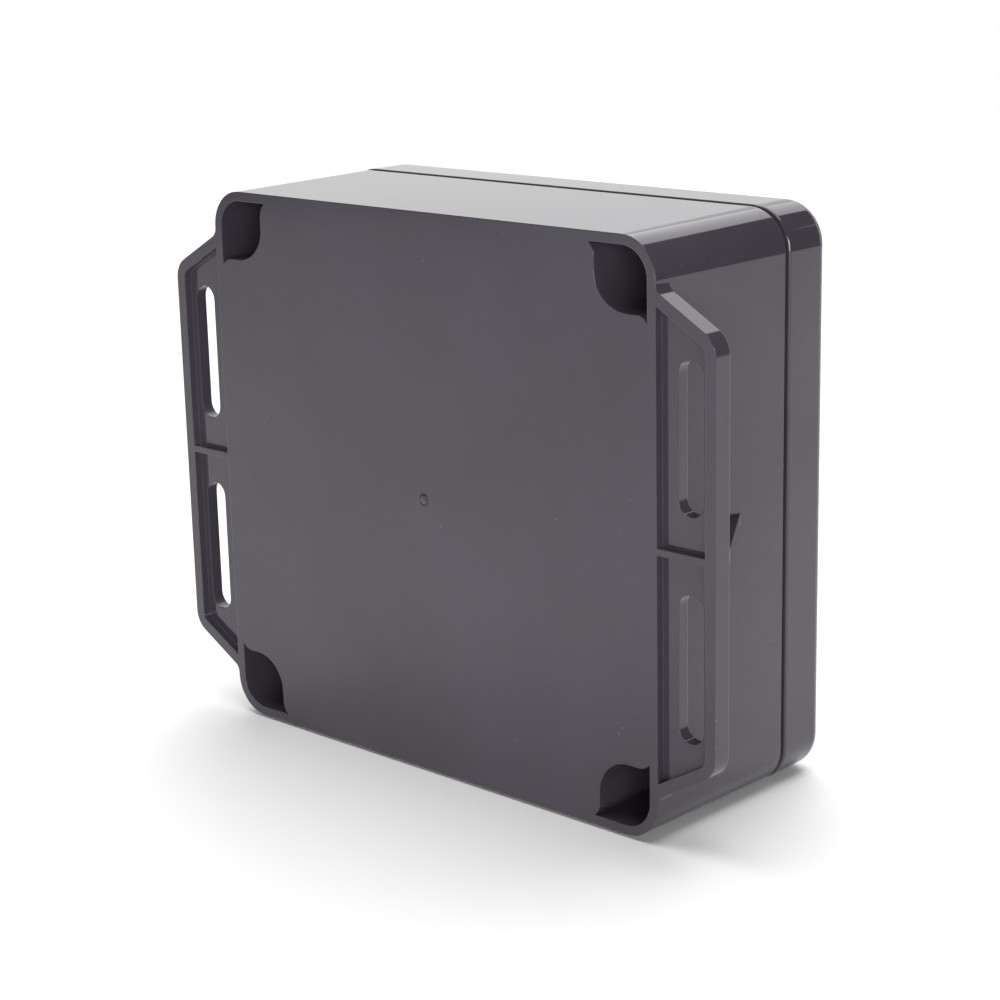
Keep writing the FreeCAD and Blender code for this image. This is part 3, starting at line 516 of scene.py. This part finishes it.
def can_marks(mesh):
    """Dark polarity mark on each capacitor's top, in two steps that follow its round edge."""
    low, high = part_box("power_capacitors")
    x = (low[0] + high[0]) / 2
    top = low[1]
    mark_face = top - 0.03 * MM
    can_half = 4.2 * MM
    steps = ((1.6 * MM, 2.6 * MM, 2.6 * MM), (2.6 * MM, 3.3 * MM, 2.0 * MM))
    for z in (high[2] - can_half, low[2] + can_half):
        for inner, outer, half_height in steps:
            brick(mesh, (x + inner, mark_face, z - half_height), (x + outer, top, z + half_height))


def jack_lights(mesh):
    """Two small square windows above the socket's mouth."""
    low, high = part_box("ethernet_jack")
    middle = (low[0] + high[0]) / 2
    spread, half_width = 5.6 * MM, 1.1 * MM
    proud, sunk = 0.12 * MM, 0.1 * MM
    for side in (-1, 1):
        x = middle + side * spread
        brick(mesh, (x - half_width, low[1] + 0.8 * MM, low[2] - proud),
              (x + half_width, low[1] + 2.3 * MM, low[2] + sunk))


def make_details():
    piece("flash_leads", leads("flash_chip", 0, 4, 1.27 * MM), "tin")
    piece("lan_transformer_leads", leads("lan_transformer", 2, 12, 1.1 * MM), "tin")
    piece("power_transformer_pins", leads("power_transformer", 0, 4, 2.6 * MM, 1.6 * MM), "tin")
    piece("switch_legs_reset", leads("reset_switch", 0, 2, 3.6 * MM), "tin")
    piece("switch_legs_pairing", leads("pairing_switch", 0, 2, 3.6 * MM), "tin")
    piece("printed_outlines", outlines, "plunger")
    piece("test_points", test_points, "gold")
    piece("shield_joints", shield_joints, "tin")
    piece("inductor_winding", winding, "copper")
    piece("capacitor_marks", can_marks, "chip")
    piece("jack_lights", jack_lights, "led")


# ---------------------------------------------------------------- floor, light and camera


def area_light(name, place, target, width, power, height):
    """Rectangular soft light, in metres and watts, aimed at a point."""
    light = bpy.data.lights.new(name, "AREA")
    light.energy = power
    light.shape = "RECTANGLE"
    light.size = width
    light.size_y = height
    item = bpy.data.objects.new(name, light)
    item.location = place
    aim = Vector(target) - Vector(place)
    item.rotation_euler = aim.to_track_quat("-Z", "Y").to_euler()
    bpy.context.scene.collection.objects.link(item)


def make_floor(height):
    """Pale floor that fades out near its rim, so that no edge shows against the surround."""
    reach = 1.25
    fade_share = 0.24
    mesh = bmesh.new()
    bmesh.ops.create_grid(mesh, x_segments=1, y_segments=1, size=1.3)
    data = bpy.data.meshes.new("floor")
    mesh.to_mesh(data)
    mesh.free()
    floor = bpy.data.objects.new("floor", data)
    floor.location = (-0.1, -0.1, height)
    bpy.context.scene.collection.objects.link(floor)
    look = Look("floor_look")
    tone = look.mix(look.noise(3.0, 2.0), (0.90, 0.90, 0.90), (0.93, 0.93, 0.93))
    unit_disc = look.stretched((1.0 / reach, 1.0 / reach, 1.0 / reach))
    nearness = look.node(
        "ShaderNodeTexGradient", {"Vector": unit_disc}, gradient_type="SPHERICAL"
    ).outputs["Fac"]
    opacity = look.remap(nearness, 0.0, fade_share)
    data.materials.append(look.finish(tone, 0.7, Alpha=opacity))


def make_world():
    """Dim studio that the camera sees as a white surround."""
    world = bpy.data.worlds.new("studio")
    bpy.context.scene.world = world
    world.use_nodes = True
    tree = world.node_tree
    sky = tree.nodes["Background"]
    sky.inputs["Color"].default_value = (1.0, 1.0, 1.0, 1.0)
    path = tree.nodes.new("ShaderNodeLightPath")
    level = tree.nodes.new("ShaderNodeMapRange")
    level.inputs["To Min"].default_value = 0.05
    level.inputs["To Max"].default_value = 1.0
    tree.links.new(path.outputs["Is Camera Ray"], level.inputs["Value"])
    tree.links.new(level.outputs["Result"], sky.inputs["Strength"])


def make_lights():
    """A tall window of light on the lid's side, a box overhead and a fill behind the camera."""
    area_light("window_low", (0.85, -1.6, 0.38), (0.85, 0.0, 0.38), 3.5, 11.4, 0.92)
    area_light("window_high", (1.275, -1.6, 1.56), (1.275, 0.0, 1.56), 2.65, 26.0, 1.44)
    area_light("overhead", (0.1, -0.2, 1.3), (0.1, -0.2, 0.0), 1.5, 27.5, 1.5)
    area_light("fill", (-0.92, 0.98, 0.17), (0.0, 0.0, 0.0), 1.0, 18.0, 0.42)


def make_camera():
    """Long lens behind, beside and a little above the case; the three axes are unit vectors."""
    data = bpy.data.cameras.new("camera")
    data.lens = 83.02
    data.sensor_width = 36.0
    data.clip_start = 0.01
    camera = bpy.data.objects.new("camera", data)
    right = Vector((-0.73549, -0.67717, -0.02229))
    up = Vector((0.16038, -0.20596, 0.96533))
    back = Vector((-0.65828, 0.70641, 0.26009))
    place = Vector((-0.32186, 0.32259, 0.12226))
    turn = Matrix((right, up, back)).transposed()
    camera.matrix_world = Matrix.Translation(place) @ turn.to_4x4()
    bpy.context.scene.collection.objects.link(camera)
    bpy.context.scene.camera = camera


dress_nodes()
make_details()
make_floor(cad_box[0][2])
make_world()
make_lights()
make_camera()
bpy.context.scene.view_settings.view_transform = "Standard"
